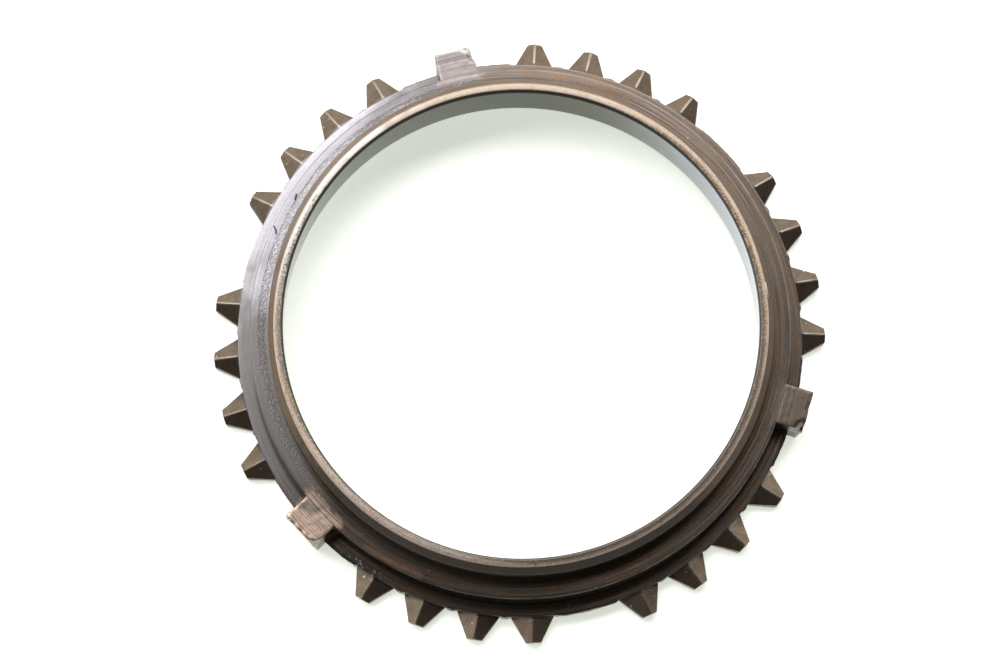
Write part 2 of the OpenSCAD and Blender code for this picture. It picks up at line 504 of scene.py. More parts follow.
def facing(at, degrees):
    """How far a spot lies towards a heading: 1 there, 0 at right angles to it, -1 opposite."""
    return vector_calc("DOT_PRODUCT", at["Direction"], heading(degrees), out="Value")


def over(spot, size):
    """A place divided by one size on all three axes."""
    return vector_calc("DIVIDE", spot, vector(X=size, Y=size, Z=size))


def mix(factor, first, second, kind="MIX"):
    """Mixes two colours, as the output socket."""
    colours = [(*c, 1) if isinstance(c, tuple) else c for c in (first, second)]
    inputs = {0: factor, 6: colours[0], 7: colours[1]}
    tree = tree_of(factor, first, second)
    return place(tree, "ShaderNodeMix", inputs, data_type="RGBA", blend_type=kind).outputs[2]

# %% [markdown]
# ## Turning marks
# A lathe tool leaves fine rings at its feed. Noise gives them if it changes quickly across the ring and
# slowly round it: radius and height over the feed make one axis, and the direction makes the other two, so
# there is no seam where the angle starts again.

# %% Shader group: turning marks
turning, given, result = new_group(
    "turning_marks",
    {"Feed": (FLOAT, 0.35), "Breaks": (FLOAT, 3.0), "Seed": (FLOAT, 0.0)},
    {"Marks": FLOAT},
)
at = at_ring(turning)
across = calc("DIVIDE", calc("ADD", at["Radius"], at["Height"]), given["Feed"])
dx, dy, _ = place(turning, "ShaderNodeSeparateXYZ", {"Vector": at["Direction"]}).outputs
breaks = given["Breaks"]
marks_at = vector(X=calc("ADD", across, given["Seed"]), Y=times(dx, breaks), Z=times(dy, breaks))
fill(result, Marks=fade(noise_at(marks_at, roughness=0.6), 0.3, 0.7))

# %% [markdown]
# ## Edge wear
# Edges rub first, and the oxide goes before the steel does. After the ring is joined, each corner of its
# mesh gets a number that says how sharply the skin bends there. Wear follows that number, broken up by
# noise, so that a ridge shows a thin bright line with gaps in it. Hollows have the opposite sign.

# %% Shader group: edge wear
wear, given, result = new_group(
    "edge_wear",
    {"Amount": (FLOAT, 1.0), "Grain": (FLOAT, 0.5)},
    {"Edge": FLOAT, "Hollow": FLOAT},
)
at = at_ring(wear)
bend = place(wear, "ShaderNodeAttribute", attribute_name="bend").outputs["Fac"]
grain = noise_at(over(at["Position"], given["Grain"]))
edge = times(fade(bend, 0.25, 0.8), fade(grain, 0.2, 0.5))
edge = calc("MULTIPLY", edge, given["Amount"], clamp=True)
fill(result, Edge=edge, Hollow=fade(bend, -0.1, -0.7))

# %% [markdown]
# ## Pits and specks
# Small round spots are dust where they are pale and corrosion pits where they are dark. A Voronoi texture
# scatters cell centres; a spot is where the centre is near, and only a share of the cells gets one.

# %% Shader group: spots
spots, given, result = new_group(
    "scattered_spots",
    {"Spacing": (FLOAT, 1.5), "Size": (FLOAT, 0.1), "Share": (FLOAT, 0.3)},
    {"Spots": FLOAT},
)
at = at_ring(spots)
spacing = given["Spacing"]
cells = place(spots, "ShaderNodeTexVoronoi", {"Vector": over(at["Position"], spacing), "Scale": 1.0})
chance = place(spots, "ShaderNodeSeparateColor", {"Color": cells.outputs["Color"]}).outputs
size = calc("DIVIDE", times(given["Size"], calc("ADD", chance[1], 0.4)), spacing)
spot = fade(cells.outputs["Distance"], size, times(size, 0.4))
chosen = calc("LESS_THAN", chance[0], given["Share"])
fill(result, Spots=times(spot, chosen))

# %% [markdown]
# ## Single strokes
# Some marks stand alone rather than in a texture: gouges, nicks, dirt and rust, and painted highlights and
# shadows. A stroke is everything that lies within a width of a line from one place to another, both in
# millimetres on the ring. The lists below name these three for each stroke: from, to and width.

# %% Shader group: stroke
stroke, given, result = new_group(
    "stroke",
    {"From": (VECTOR, (0, 0, 0)), "To": (VECTOR, (1, 0, 0)), "Width": (FLOAT, 0.15)},
    {"Mask": FLOAT},
)
at = at_ring(stroke)
away = vector_calc("SUBTRACT", at["Position"], given["From"])
line = vector_calc("SUBTRACT", given["To"], given["From"])
along = calc(
    "DIVIDE",
    vector_calc("DOT_PRODUCT", away, line, out="Value"),
    vector_calc("DOT_PRODUCT", line, line, out="Value"),
    clamp=True,
)
gap = vector_calc("DISTANCE", away, stretched(line, along), out="Value")
half_width = times(given["Width"], 0.5)
fill(result, Mask=fade(gap, half_width, times(half_width, 0.3)))


def strokes(tree, colour, lines, tint, share=1.0):
    """Paints a list of strokes over a colour, each with the given share."""
    for start, end, width in lines:
        mask = use(tree, stroke, From=start, To=end, Width=width)["Mask"]
        colour = mix(times(mask, share), colour, tint)
    return colour


MARKS = [  # dark gouges on the shoulder
    ((-27.35, 19.67, 6.4), (-27.22, 19.15, 6.4), 0.3),
    ((-27.22, 19.15, 6.4), (-27.3, 18.7, 6.4), 0.34),
    ((-23.98, 22.52, 6.4), (-23.73, 23.08, 6.4), 0.42),
]
NICKS = [  # bright nicks on the collar's outer edge
    ((30.45, -2.5, 10.7), (30.42, -4.4, 10.7), 0.4),
]
EDGE_HIGHLIGHTS = [  # painted highlights along the shoulder's edge beside a lug
    ((30.41, -14.83, 6.33), (29.3, -16.92, 6.33), 0.5),
    ((29.3, -16.92, 6.33), (28.05, -18.92, 6.33), 0.5),
]
CRUSTS = [  # rough dirt on the near side
    ((-27.7, -22.6, 2.6), (-24.5, -25.8, 2.6), 1.9),
]
RUSTS = [  # browner stretches of the near shoulder
    ((-25.0, -22.5, 6.4), (-22.3, -25.0, 6.4), 1.1),
    ((-22.3, -25.0, 6.4), (-19.2, -27.4, 6.4), 1.2),
]
NICK_TINT, EDGE_HIGHLIGHT_TINT = (0.75, 0.73, 0.7), (0.27, 0.235, 0.215)
print("strokes:", len(MARKS) + len(NICKS) + len(EDGE_HIGHLIGHTS) + len(CRUSTS) + len(RUSTS))

# %% [markdown]
# ## The oxide's tone
# Heat and oil have turned the steel brown, and one side of the ring is rubbed to a cool grey that is almost
# bare in its middle. The tone group mixes these by direction, with noise for the ragged borders, and lets a
# redder brown through in places, as a thin oxide film does.

# %% Shader group: oxide tone
GREY_SIDE, BARE_SIDE = 306, 316  # headings of the grey side and of its barest metal
PAINTED_SHADE_SIDE = 211  # heading of the painted shade on the near side

tone, given, result = new_group(
    "oxide_tone",
    {
        "Brown": (COLOR, (0.088, 0.0645, 0.0475, 1)),
        "Grey": (COLOR, (0.12, 0.112, 0.11, 1)),
        "Bare": (COLOR, (0.275, 0.264, 0.285, 1)),
        "Purple": (COLOR, (0.092, 0.07, 0.061, 1)),
        "Patch Size": (FLOAT, 6.0),
    },
    {"Color": COLOR, "Rubbed": FLOAT, "Bare": FLOAT},
)
at = at_ring(tone)
patches = noise_at(over(at["Position"], given["Patch Size"]), detail=4.0)
ragged = linear(patches, 0.35, -0.175)
rubbed = fade(calc("ADD", facing(at, GREY_SIDE), ragged), 0.3, 0.7)
bare = fade(calc("ADD", facing(at, BARE_SIDE), ragged), 0.84, 0.98)
tone_and_shade = mix(fade(patches, 0.5, 0.7), given["Brown"], given["Purple"])
tone_and_shade = mix(rubbed, tone_and_shade, given["Grey"])
tone_and_shade = mix(bare, tone_and_shade, given["Bare"])
# painted shade: the oxide's colour darkens towards the near side
tone_and_shade = mix(times(fade(facing(at, PAINTED_SHADE_SIDE), 0.75, 1.0), 0.5), tone_and_shade, (0.016, 0.013, 0.01))
fill(result, Color=tone_and_shade, Rubbed=rubbed, Bare=bare)

# %% [markdown]
# ## Milled lugs
# An end mill faced the lugs' tops and ran out onto the shoulder beside them, so its rings cross both. Each
# lug has worn to its own tint: lilac, brown and copper. The group finds the nearest lug by the dot product
# with its direction, and puts out the tint, the rings and a mask with a ragged border.

# %% Shader group: milled lug
LUG_TINTS = [(0.15, 0.13, 0.131), (0.099, 0.073, 0.057), (0.25, 0.183, 0.148)]
LUG_GLINTS = [(1.8, 1.75, 1.7), (1.3, 1.3, 1.3), (1.75, 1.72, 1.7)]

milled, given, result = new_group(
    "milled_lug",
    {"Feed": (FLOAT, 0.17), "Run Out": (FLOAT, 1.3)},
    {"Color": COLOR, "Mask": FLOAT, "Rings": FLOAT, "Flank": FLOAT},
)
at = at_ring(milled)
ragged = noise_at(at["Position"], 1.3, detail=4.0)
spread = calc("SUBTRACT", ragged, 0.5)
along, tint, glint = None, LUG_TINTS[0], LUG_GLINTS[0]
for number, (own_tint, own_glint) in enumerate(zip(LUG_TINTS, LUG_GLINTS)):
    reach = vector_calc("DOT_PRODUCT", at["Position"], heading(120 * number), out="Value")
    along = reach if along is None else calc("MAXIMUM", along, reach)
    own = fade(reach, 20.0, 25.0)
    tint, glint = mix(own, tint, own_tint), mix(own, glint, own_glint)
square = times(at["Radius"], at["Radius"])
across = calc("SQRT", calc("SUBTRACT", square, times(along, along)))
beside = fade(linear(spread, 2.0, across), LUG_W / 2 + 0.9, LUG_W / 2 - 0.1)
start = calc("SUBTRACT", SHOULDER_R, given["Run Out"])
out_there = fade(linear(spread, 1.6, at["Radius"]), start, calc("ADD", start, 0.5))
rings = use(milled, turning, Feed=given["Feed"], Breaks=1.5, Seed=4.0)["Marks"]
tint = mix(times(fade(ragged, 0.45, 0.7), 0.6), tint, (0.1, 0.093, 0.08))
tint = mix(1.0, tint, mix(rings, (0.95, 0.94, 0.94), glint), kind="MULTIPLY")
low = fade(at["Height"], LUG_Z - 0.3, LUG_Z - 0.55)
painted_flank = times(fade(across, LUG_W / 2 - 0.6, LUG_W / 2 - 0.4), low)
fill(result, Color=tint, Mask=times(beside, out_there), Rings=rings, Flank=painted_flank)

# %% [markdown]
# ## Turned oxide
# Shoulder, flange and rim share this finish: brown oxide that still reflects like metal, with the rings of
# the tool in colour, roughness and relief. Pits mark the inner part of the shoulder on the grey side, painted
# shade darkens the fillet and other hollows, painted highlights follow a few turned lines, and the lugs'
# milling ran out onto the shoulder beside them.


# %% Material: turned oxide
def new_material(name, metallic):
    """A material with a Principled shader whose even values are set on the shader itself."""
    made = bpy.data.materials.new(name)
    made.use_nodes = True
    made.node_tree.nodes.clear()
    shader = place(made.node_tree, "ShaderNodeBsdfPrincipled", {"Metallic": metallic})
    place(made.node_tree, "ShaderNodeOutputMaterial", {"Surface": shader.outputs["BSDF"]})
    return made, made.node_tree, shader


def shaded(colour, shade):
    """A colour multiplied by a single value."""
    grey = {"Red": shade, "Green": shade, "Blue": shade}
    grey = place(tree_of(shade), "ShaderNodeCombineColor", grey).outputs["Color"]
    return mix(1.0, colour, grey, kind="MULTIPLY")


def fine_noise(tree, scale, detail=4.0):
    """Noise over the ring with the given number of lumps in a millimetre."""
    return noise_at(at_ring(tree)["Position"], scale, detail)


def finish_material(made, shader, height, depth, **sockets):
    """Links a material's shader, gives it bump of a depth in millimetres and counts its nodes."""
    inputs = {"Height": height, "Distance": depth * MM, "Strength": 1.0}
    bump = place(made.node_tree, "ShaderNodeBump", inputs)
    fill(shader, Normal=bump.outputs["Normal"], **sockets)
    print(made.name, "has", len(made.node_tree.nodes), "nodes")


ARC_HIGHLIGHTS = [  # painted highlights along turned lines on the shoulder: radius, middle and half length in degrees
    (33.28, 52, 15),
    (32.68, 50, 13),
    (32.26, 53, 12),
    (32.95, 66, 12),
]

turned_oxide, tree, shader = new_material("turned_oxide", 0.75)
at = at_ring(tree)
tones = use(tree, tone, Patch_Size=5.0)
lug = use(tree, milled)
coarse = use(tree, turning, Feed=0.36, Breaks=1.6)["Marks"]
fine = use(tree, turning, Feed=0.11, Breaks=2.2, Seed=9.0)["Marks"]
near = fade(facing(at, PAINTED_SHADE_SIDE), 0.3, 0.9)
# the edge wear is weaker on the near side, as painted shade
amount = linear(near, -0.25, linear(tones["Rubbed"], -0.35, 0.45))
worn = use(tree, wear, Amount=amount, Grain=2.5)
grain = fade(fine_noise(tree, 4.5), 0.4, 0.6)
lumps = fine_noise(tree, 1.5)
ragged = linear(lumps, 0.5, at["Radius"])
pitted = times(fade(ragged, 33.25, 33.0), tones["Rubbed"])
pits = times(grain, pitted)
border = fade(calc("ABSOLUTE", calc("SUBTRACT", ragged, 33.11)), 0.1, 0.03)
border = times(times(border, fade(lumps, 0.4, 0.55)), tones["Rubbed"])
calm = linear(tones["Rubbed"], -0.8, 1.0)
streaks = linear(coarse, 0.4, linear(fine, 0.7, -0.55))
depth = linear(tones["Rubbed"], -0.1, 0.22)
ground = linear(grain, depth, linear(depth, -0.5, 1.0))
streaks = linear(streaks, calm, ground)
colour = shaded(tones["Color"], streaks)
colour = mix(calm, colour, mix(coarse, (0.98, 1.0, 1.03), (1.03, 1.0, 0.96)), kind="MULTIPLY")
drift = fade(fine_noise(tree, 0.45, detail=3.0), 0.35, 0.65)
colour = mix(calm, colour, mix(drift, (0.95, 0.98, 1.05), (1.1, 1.0, 0.89)), kind="MULTIPLY")
for radius, middle, reach in ARC_HIGHLIGHTS:
    ends = (math.cos(math.radians(reach)), math.cos(math.radians(0.5 * reach)))
    ring_line = fade(calc("ABSOLUTE", calc("SUBTRACT", at["Radius"], radius)), 0.09, 0.03)
    spread = fade(facing(at, middle), *ends)
    line = times(times(ring_line, spread), 0.5)
    # painted highlight along a turned line
    colour = mix(line, colour, (0.2, 0.172, 0.155))
colour = strokes(tree, colour, RUSTS, (0.16, 0.095, 0.055), lumps)
run_out = times(lug["Mask"], linear(lug["Rings"], 0.4, 0.6))
colour = mix(run_out, colour, lug["Color"])
swept = fade(facing(at, GREY_SIDE), 0.75, 0.9)
hollow_shade = times(times(worn["Hollow"], linear(lug["Mask"], -0.5, 0.5)), linear(swept, -0.8, 1.0))
# painted shade in the hollows, lighter beside the lugs and on the grey side
colour = mix(hollow_shade, colour, (0.02, 0.016, 0.012))
plain = times(fade(at["Radius"], 34.3, 34.0), tones["Rubbed"])
lighter = linear(pitted, 0.6, linear(plain, -0.15, 1.0))
colour = shaded(colour, linear(pits, -0.6, lighter))
colour = mix(times(border, 0.25), colour, (0.05, 0.04, 0.038))
colour = mix(worn["Edge"], colour, (0.3, 0.27, 0.24))
dust = use(tree, spots, Spacing=1.2, Size=0.11, Share=0.25)["Spots"]
colour = mix(times(dust, 0.5), colour, (0.5, 0.47, 0.44))
# painted highlights along the shoulder's edge
colour = strokes(tree, colour, EDGE_HIGHLIGHTS, EDGE_HIGHLIGHT_TINT)
colour = strokes(tree, colour, MARKS, (0.012, 0.01, 0.01))
specks = use(tree, spots, Spacing=0.42, Size=0.2, Share=0.75)["Spots"]
colour = strokes(tree, colour, CRUSTS, mix(specks, (0.03, 0.026, 0.025), (0.2, 0.183, 0.187)), 0.8)
rough = linear(pitted, 0.06, linear(fine, 0.08, linear(coarse, -0.06, 0.32)))
rings = mix(lug["Mask"], shaded((0.6, 0.6, 0.6), coarse), shaded((1.0, 1.0, 1.0), lug["Rings"]))
height = linear(fine, 0.4, linear(pits, -2.5, rings))
finish_material(turned_oxide, shader, height, 0.012, Base_Color=colour, Roughness=rough)

# %% [markdown]
# ## Dull oxide
# The collar's wall, the bevel above it and the fillet below have never rubbed against anything, so they keep
# a dull brown oxide. It scatters light more than it mirrors it. Blotchy painted shade darkens the near side,
# and painted shade darkens the right side and the hollows.

# %% Material: dull oxide
NEAR_SHADE_SIDE, SHADED_SIDE = 200, 110  # headings of the painted shade on the near side and on the right

dull_oxide, tree, shader = new_material("dull_oxide", 0.15)
shader.inputs["Specular IOR Level"].default_value = 0.25
at = at_ring(tree)
fine = use(tree, turning, Feed=0.2, Breaks=3.0, Seed=5.0)["Marks"]
tones = use(tree, tone, Patch_Size=5.0)
worn = use(tree, wear, Amount=0.08, Grain=0.5)
grain = fade(fine_noise(tree, 5.0), 0.35, 0.65)
blotch = fine_noise(tree, 0.5)
# painted shade: blotches that darken the near side
near_shade = fade(linear(blotch, 0.4, facing(at, NEAR_SHADE_SIDE)), 0.65, 0.95)
colour = mix(tones["Bare"], (0.142, 0.088, 0.057), (0.19, 0.138, 0.106))
# painted shade on the right side
tone_and_shade = fade(facing(at, SHADED_SIDE), 0.75, 0.97)
colour = shaded(colour, linear(tone_and_shade, -0.22, 1.0))
colour = mix(near_shade, colour, (0.044, 0.029, 0.018))
colour = shaded(colour, linear(fine, 0.3, linear(grain, 0.25, 0.7)))
# painted shade in the hollows
colour = mix(times(worn["Hollow"], 0.3), colour, (0.03, 0.024, 0.018))
colour = mix(worn["Edge"], colour, (0.5, 0.43, 0.36))
rubbed = times(fade(at["Radius"], COLLAR_R + 0.12, COLLAR_R + 0.25), tones["Rubbed"])
colour = mix(rubbed, colour, shaded(tones["Color"], linear(grain, -0.5, 1.2)))
colour = strokes(tree, colour, NICKS, NICK_TINT)
rough = linear(rubbed, -0.15, linear(fine, 0.1, 0.5))
metallic = linear(rubbed, 0.6, 0.15)
finish_material(dull_oxide, shader, fine, 0.006, Base_Color=colour, Roughness=rough, Metallic=metallic)

# %% [markdown]
# ## Tooth oxide
# The teeth were cut and left as they came, so they are duller and browner than the turned faces, with a
# bare ridge where the sleeve slides, faint stains, and a few pale specks of dust.

# %% Material: tooth oxide
tooth_oxide, tree, shader = new_material("tooth_oxide", 0.95)
stain = fine_noise(tree, 0.8, detail=5.0)
grain = fade(fine_noise(tree, 4.0), 0.35, 0.65)
rubbed = use(tree, tone)["Rubbed"]
near = fade(facing(at_ring(tree), PAINTED_SHADE_SIDE), 0.3, 0.9)
# the edge wear is weaker on the near side, as painted shade
amount = linear(near, -0.5, linear(rubbed, -0.4, 0.85))
worn = use(tree, wear, Amount=amount, Grain=1.5)
dust = use(tree, spots, Spacing=0.85, Size=0.14, Share=0.4)["Spots"]
colour = mix(fade(stain, 0.35, 0.7), (0.184, 0.135, 0.104), (0.148, 0.107, 0.081))
colour = shaded(colour, linear(grain, 0.2, 0.9))
colour = mix(worn["Edge"], colour, (0.33, 0.285, 0.25))
colour = mix(times(dust, 0.75), colour, (0.7, 0.68, 0.64))
rough = linear(stain, 0.2, 0.28)
finish_material(tooth_oxide, shader, grain, 0.008, Base_Color=colour, Roughness=rough)

# %% [markdown]
# ## Worn end face
# The narrow face at the small end has rubbed against its neighbour until the oxide went. Its outer part is
# cream and bare, and towards the bore a gold-brown oxide is left, with a ragged border. Metal and oxide are
# darker towards the near side as painted shade, and the oxide mask leans the same way. A thin dark line runs
# along the outer edge on the far half of the ring, and painted highlights run along the outer edge and the
# lip on the near half.

# %% Material: worn end face
END_SHADE_SIDE, OXIDE_SIDE = 167, 122  # headings of the painted shade and of the widest oxide
PINK_SIDE, STAINED_SIDE, FAR_SIDE = 231, 284, 345  # of a coppery tint, a grey stain, the dark outer line
STAINS = [  # dark stains beside the bore
    ((-26.7, 13.1, 10.8), (-25.0, 16.1, 10.8), 0.4),
    ((-24.7, 16.6, 10.8), (-22.2, 19.9, 10.8), 0.36),
    ((-21.8, 20.5, 10.8), (-21.1, 21.2, 10.8), 0.3),
]

worn_face, tree, shader = new_material("worn_end_face", 0.9)
at = at_ring(tree)
worn = use(tree, wear, Amount=0.7, Grain=1.0)
mottle = fine_noise(tree, 3.0, detail=6.0)
grain = fine_noise(tree, 5.0)
towards = facing(at, END_SHADE_SIDE)
end_shade = fade(towards, 0.25, 1.0)
wide = facing(at, OXIDE_SIDE)
pale = fade(wide, 0.45, 0.9)
wide = fade(wide, 0.0, 0.45)
stained = facing(at, STAINED_SIDE)
spread = calc("MAXIMUM", wide, fade(stained, 0.8, 0.95))
inner = linear(spread, -0.35, linear(mottle, 0.5, at["Radius"]))
inner = fade(inner, 30.15, 29.75)
left = linear(mottle, 1.4, linear(grain, 1.5, -1.21))
pink = fade(facing(at, PINK_SIDE), 0.8, 0.97)
inner_oxide = times(inner, linear(wide, 0.1, 0.28))
left = linear(towards, 0.25, calc("ADD", inner_oxide, left))
bare = use(tree, tone, Patch_Size=3.0)["Bare"]
metal = mix(pale, (0.25, 0.193, 0.147), (0.385, 0.293, 0.22))
metal = mix(pink, metal, (0.31, 0.236, 0.197))
metal = mix(bare, metal, (0.4, 0.38, 0.357))
# painted shade: metal and oxide darker towards the near side
metal = mix(end_shade, metal, (0.265, 0.208, 0.168))
oxide = mix(end_shade, (0.11, 0.074, 0.043), (0.07, 0.05, 0.035))
colour = mix(fade(left, 0.18, 0.72), metal, oxide)
edge = times(worn["Edge"], calc("SUBTRACT", 1.0, inner))
colour = mix(edge, colour, (0.42, 0.37, 0.32))
stained = times(fade(stained, 0.93, 0.985), fade(at["Radius"], 30.28, 30.12))
colour = mix(times(stained, fade(grain, 0.35, 0.65)), colour, (0.1, 0.09, 0.08))
colour = strokes(tree, colour, STAINS, (0.05, 0.044, 0.038), mottle)
far = facing(at, FAR_SIDE)
rim = times(fade(at["Radius"], 30.26, 30.36), fade(far, 0.3, 0.75))
colour = mix(times(rim, 0.75), colour, (0.14, 0.1, 0.072))
# painted highlights along the outer edge and the lip on the near half
near = fade(far, -0.1, -0.6)
rim = times(fade(at["Radius"], 30.2, 30.34), near)
colour = mix(times(rim, 0.45), colour, (0.5, 0.42, 0.36))
lip = times(fade(at["Radius"], 29.67, 29.6), near)
colour = mix(times(lip, 0.3), colour, (0.3, 0.27, 0.285))
colour = strokes(tree, colour, NICKS, NICK_TINT)
rough = linear(mottle, 0.25, 0.3)
finish_material(worn_face, shader, grain, 0.008, Base_Color=colour, Roughness=rough)

# %% [markdown]
# ## Lugs
# The lugs show the milled steel at its barest, with bright metal along every edge that the hub has struck.
# Their flanks get a painted reflection of the floor outside the rim and painted shade inside it. Single marks
# are strokes again: an oxide stain, bruises in the struck corners, painted highlights on rolled corners and
# the painted shade under a rolled edge.

# %% Material: lugs
BRUISES_AND_PAINTED_LIGHT = [  # from, to, width, colour
    ((31.31, -19.46, 5.8), (30.77, -20.31, 5.6), 0.9, (0.5, 0.46, 0.47)),
    ((31.75, -19.2, 6.0), (31.95, -19.3, 6.0), 0.35, (0.6, 0.55, 0.5)),
    # painted shadow in a scoop under a rolled lip
    ((31.87, -19.5, 5.7), (31.54, -20.17, 5.5), 0.55, (0.012, 0.01, 0.009)),
    ((31.54, -20.17, 5.5), (30.93, -20.63, 5.5), 0.55, (0.012, 0.01, 0.009)),
    # a painted highlight round a pit at lug 0, then the pit's dark arc
    ((1.2, 37.2, 6.2), (2.3, 36.6, 6.0), 1.1, (0.42, 0.385, 0.345)),
    ((1.3, 37.35, 6.1), (2.1, 37.15, 6.0), 0.25, (0.1, 0.075, 0.065)),
    # painted highlights on rolled-over corners of lug 2
    ((-30.53, -20.11, 6.15), (-31.2, -19.6, 6.15), 0.6, (0.5, 0.46, 0.41)),
    ((-33.11, -16.46, 6.1), (-33.3, -16.95, 6.1), 0.8, (0.52, 0.48, 0.45)),
    ((-32.6, -18.4, 6.1), (-32.3, -18.6, 6.1), 0.6, (0.02, 0.017, 0.014)),
]

lug_top, tree, shader = new_material("lug_steel", 0.8)
lug = use(tree, milled)
worn = use(tree, wear, Amount=0.45, Grain=0.7)
mottle = fine_noise(tree, 0.9)
# painted reflection of the floor on the outer part of the flanks, painted shade on the inner part
outside = fade(at_ring(tree)["Radius"], ROOT_R - 0.3, ROOT_R + 0.2)
painted_flank = mix(outside, (0.02, 0.017, 0.014), (0.36, 0.35, 0.32))
colour = mix(lug["Flank"], lug["Color"], painted_flank)
stain = use(tree, stroke, From=(-31.0, -15.3, 6.2), To=(-30.0, -16.4, 6.2), Width=2.4)["Mask"]
colour = mix(stain, colour, (0.45, 0.5, 0.54), kind="MULTIPLY")
colour = mix(worn["Edge"], colour, mix(1.0, lug["Color"], (1.9, 1.9, 1.9), kind="MULTIPLY"))
# painted highlights along the shoulder's edge
colour = strokes(tree, colour, EDGE_HIGHLIGHTS, EDGE_HIGHLIGHT_TINT)
for *lug_mark, tint in BRUISES_AND_PAINTED_LIGHT:
    colour = strokes(tree, colour, [lug_mark], tint)
rough = linear(mottle, 0.2, 0.34)
finish_material(lug_top, shader, lug["Rings"], 0.015, Base_Color=colour, Roughness=rough)

# %% [markdown]
# ## Friction cone
# The cone is ground, so it is the smoothest surface on the part and mirrors the floor. On one side a
# brighter, bluer colour is painted in as a reflection, and above it the small bevel of the mouth keeps its
# black oxide, painted lighter on that side.

# %% Material: friction cone
PAINTED_REFLECTION_SIDE = 90  # heading of the painted reflection

friction_cone, tree, shader = new_material("friction_cone", 0.9)
shader.inputs["Specular Tint"].default_value = (0.84, 0.85, 0.79, 1)
shader.inputs["Specular IOR Level"].default_value = 0.1
at = at_ring(tree)
fine = use(tree, turning, Feed=0.22, Breaks=2.0, Seed=2.0)["Marks"]
painted_reflection = fade(facing(at, PAINTED_REFLECTION_SIDE), 0.5, 1.0)
mouth = fade(linear(painted_reflection, -0.4, at["Height"]), HEIGHT - 1.0, HEIGHT - 0.8)
# painted reflection: a brighter, bluer colour towards one side
colour = mix(painted_reflection, (0.032, 0.033, 0.0265), (0.36, 0.37, 0.55))
colour = shaded(colour, linear(fine, 0.4, 0.8))
# the mouth's black oxide, painted lighter on the same side
colour = mix(mouth, colour, mix(painted_reflection, (0.012, 0.01, 0.009), (0.06, 0.055, 0.06)))
rough = linear(fine, 0.05, linear(mouth, 0.3, 0.05))
metallic = linear(mouth, -0.9, 0.9)
finish_material(friction_cone, shader, fine, 0.002, Base_Color=colour, Roughness=rough, Metallic=metallic)

# %% [markdown]
# ## Growing the ring
# Now the trees make their meshes. A tree's inputs are set by identifier before the object is evaluated,
# the result is kept as a plain mesh, and the modifier goes. The drawn outlines and patterns were only
# there to be copied, so they are removed at the end.


# %% Grow body, teeth and the joined ring
def grow(name, tree, values):
    """Makes an object from a geometry tree and keeps the result as a plain mesh."""
    host = bpy.data.objects.new(name, bpy.data.meshes.new(name))
    scene.collection.objects.link(host)
    modifier = host.modifiers.new("shape", "NODES")
    modifier.node_group = tree
    sockets = {s.name: s.identifier for s in tree.interface.items_tree if s.in_out == "INPUT"}
    for label, value in values.items():
        modifier[sockets[label]] = value
    shape = host.evaluated_get(bpy.context.evaluated_depsgraph_get())
    mesh = bpy.data.meshes.new_from_object(shape)
    host.modifiers.remove(modifier)
    host.data = mesh
    return host


body = grow("body_turned", turned_body, {"Section": section, "Material": turned_oxide})
teeth = grow("teeth_row", tooth_row, {"Tooth": tooth, "Material": tooth_oxide})
parts = {"Body": body, "Teeth": teeth, "Lugs": lugs, "Material": turned_oxide}
sync_ring = grow("sync_ring", joined_ring, parts)
for spare in (section, tooth, lugs, body, teeth):
    bpy.data.objects.remove(spare)
print("joined ring:", len(sync_ring.data.polygons), "faces")

# %% [markdown]
# ## Bends and finishes
# How sharply the skin bends at a corner is the strongest of the angles at its edges, positive where it is
# convex. It is stored as an attribute for the wear, and every face gets the finish of its place. The flat
# faces of the teeth get a narrow border first, which keeps the wear of their edges from spreading inwards.

# %% Store the bends, choose the finishes
FINISHES = [turned_oxide, tooth_oxide, worn_face, lug_top, friction_cone, dull_oxide]
SHARP_BEND, SMOOTH_BELOW = math.radians(18), math.radians(38)
FACET_AREA, FACET_BORDER = 0.3 * MM**2, 0.05 * MM


def finish_of(centre, normal):
    """The finish for a face, from its centre in millimetres and its normal."""
    radius = math.hypot(centre.x, centre.y)
    inwards = -(normal.x * centre.x + normal.y * centre.y) / radius
    turn = math.atan2(centre.x, centre.y) % THIRD
    across = radius * math.sin(min(turn, THIRD - turn))
    on_lug = across < LUG_W / 2 + 0.4 and radius > SHOULDER_R - 0.2
    if centre.z > HEIGHT - 0.09 and normal.z > 0.3:
        return worn_face
    if inwards > 0.5 and radius < CONE_LARGE_R + 0.1:
        return friction_cone
    if centre.z > SHOULDER_Z - 0.01 and radius < COLLAR_R + FILLET + 0.16:
        return dull_oxide
    if on_lug and centre.z > FLANGE_Z + 0.6 and (normal.z > 0.3 or radius > SHOULDER_R + 0.3):
        return lug_top
    if radius > ROOT_R + 0.25 and not on_lug:
        return tooth_oxide
    return turned_oxide


mesh = sync_ring.data
mesh.materials.clear()
for finish in FINISHES:
    mesh.materials.append(finish)
bm = bmesh.new()
bm.from_mesh(mesh)
bmesh.ops.remove_doubles(bm, verts=bm.verts, dist=1e-7)
for face in bm.faces:
    face.smooth = True
    face.material_index = FINISHES.index(finish_of(face.calc_center_median() / MM, face.normal))
on_teeth = FINISHES.index(tooth_oxide)
facets = [face for face in bm.faces if face.material_index == on_teeth and face.calc_area() > FACET_AREA]
bmesh.ops.inset_individual(bm, faces=facets, thickness=FACET_BORDER, use_even_offset=True)
open_edges = sum(1 for e in bm.edges if not e.is_manifold)
layer = bm.verts.layers.float.new("bend")
for vert in bm.verts:
    strongest = max((e.calc_face_angle_signed(0) for e in vert.link_edges), key=abs)
    vert[layer] = max(-1, min(1, strongest / SHARP_BEND))
print("facets:", len(facets), "faces:", len(bm.faces))
print("volume in mm3:", round(bm.calc_volume(signed=True) / MM**3, 1), "open edges:", open_edges)
bm.to_mesh(mesh)
bm.free()
mesh.set_sharp_from_angle(angle=SMOOTH_BELOW)

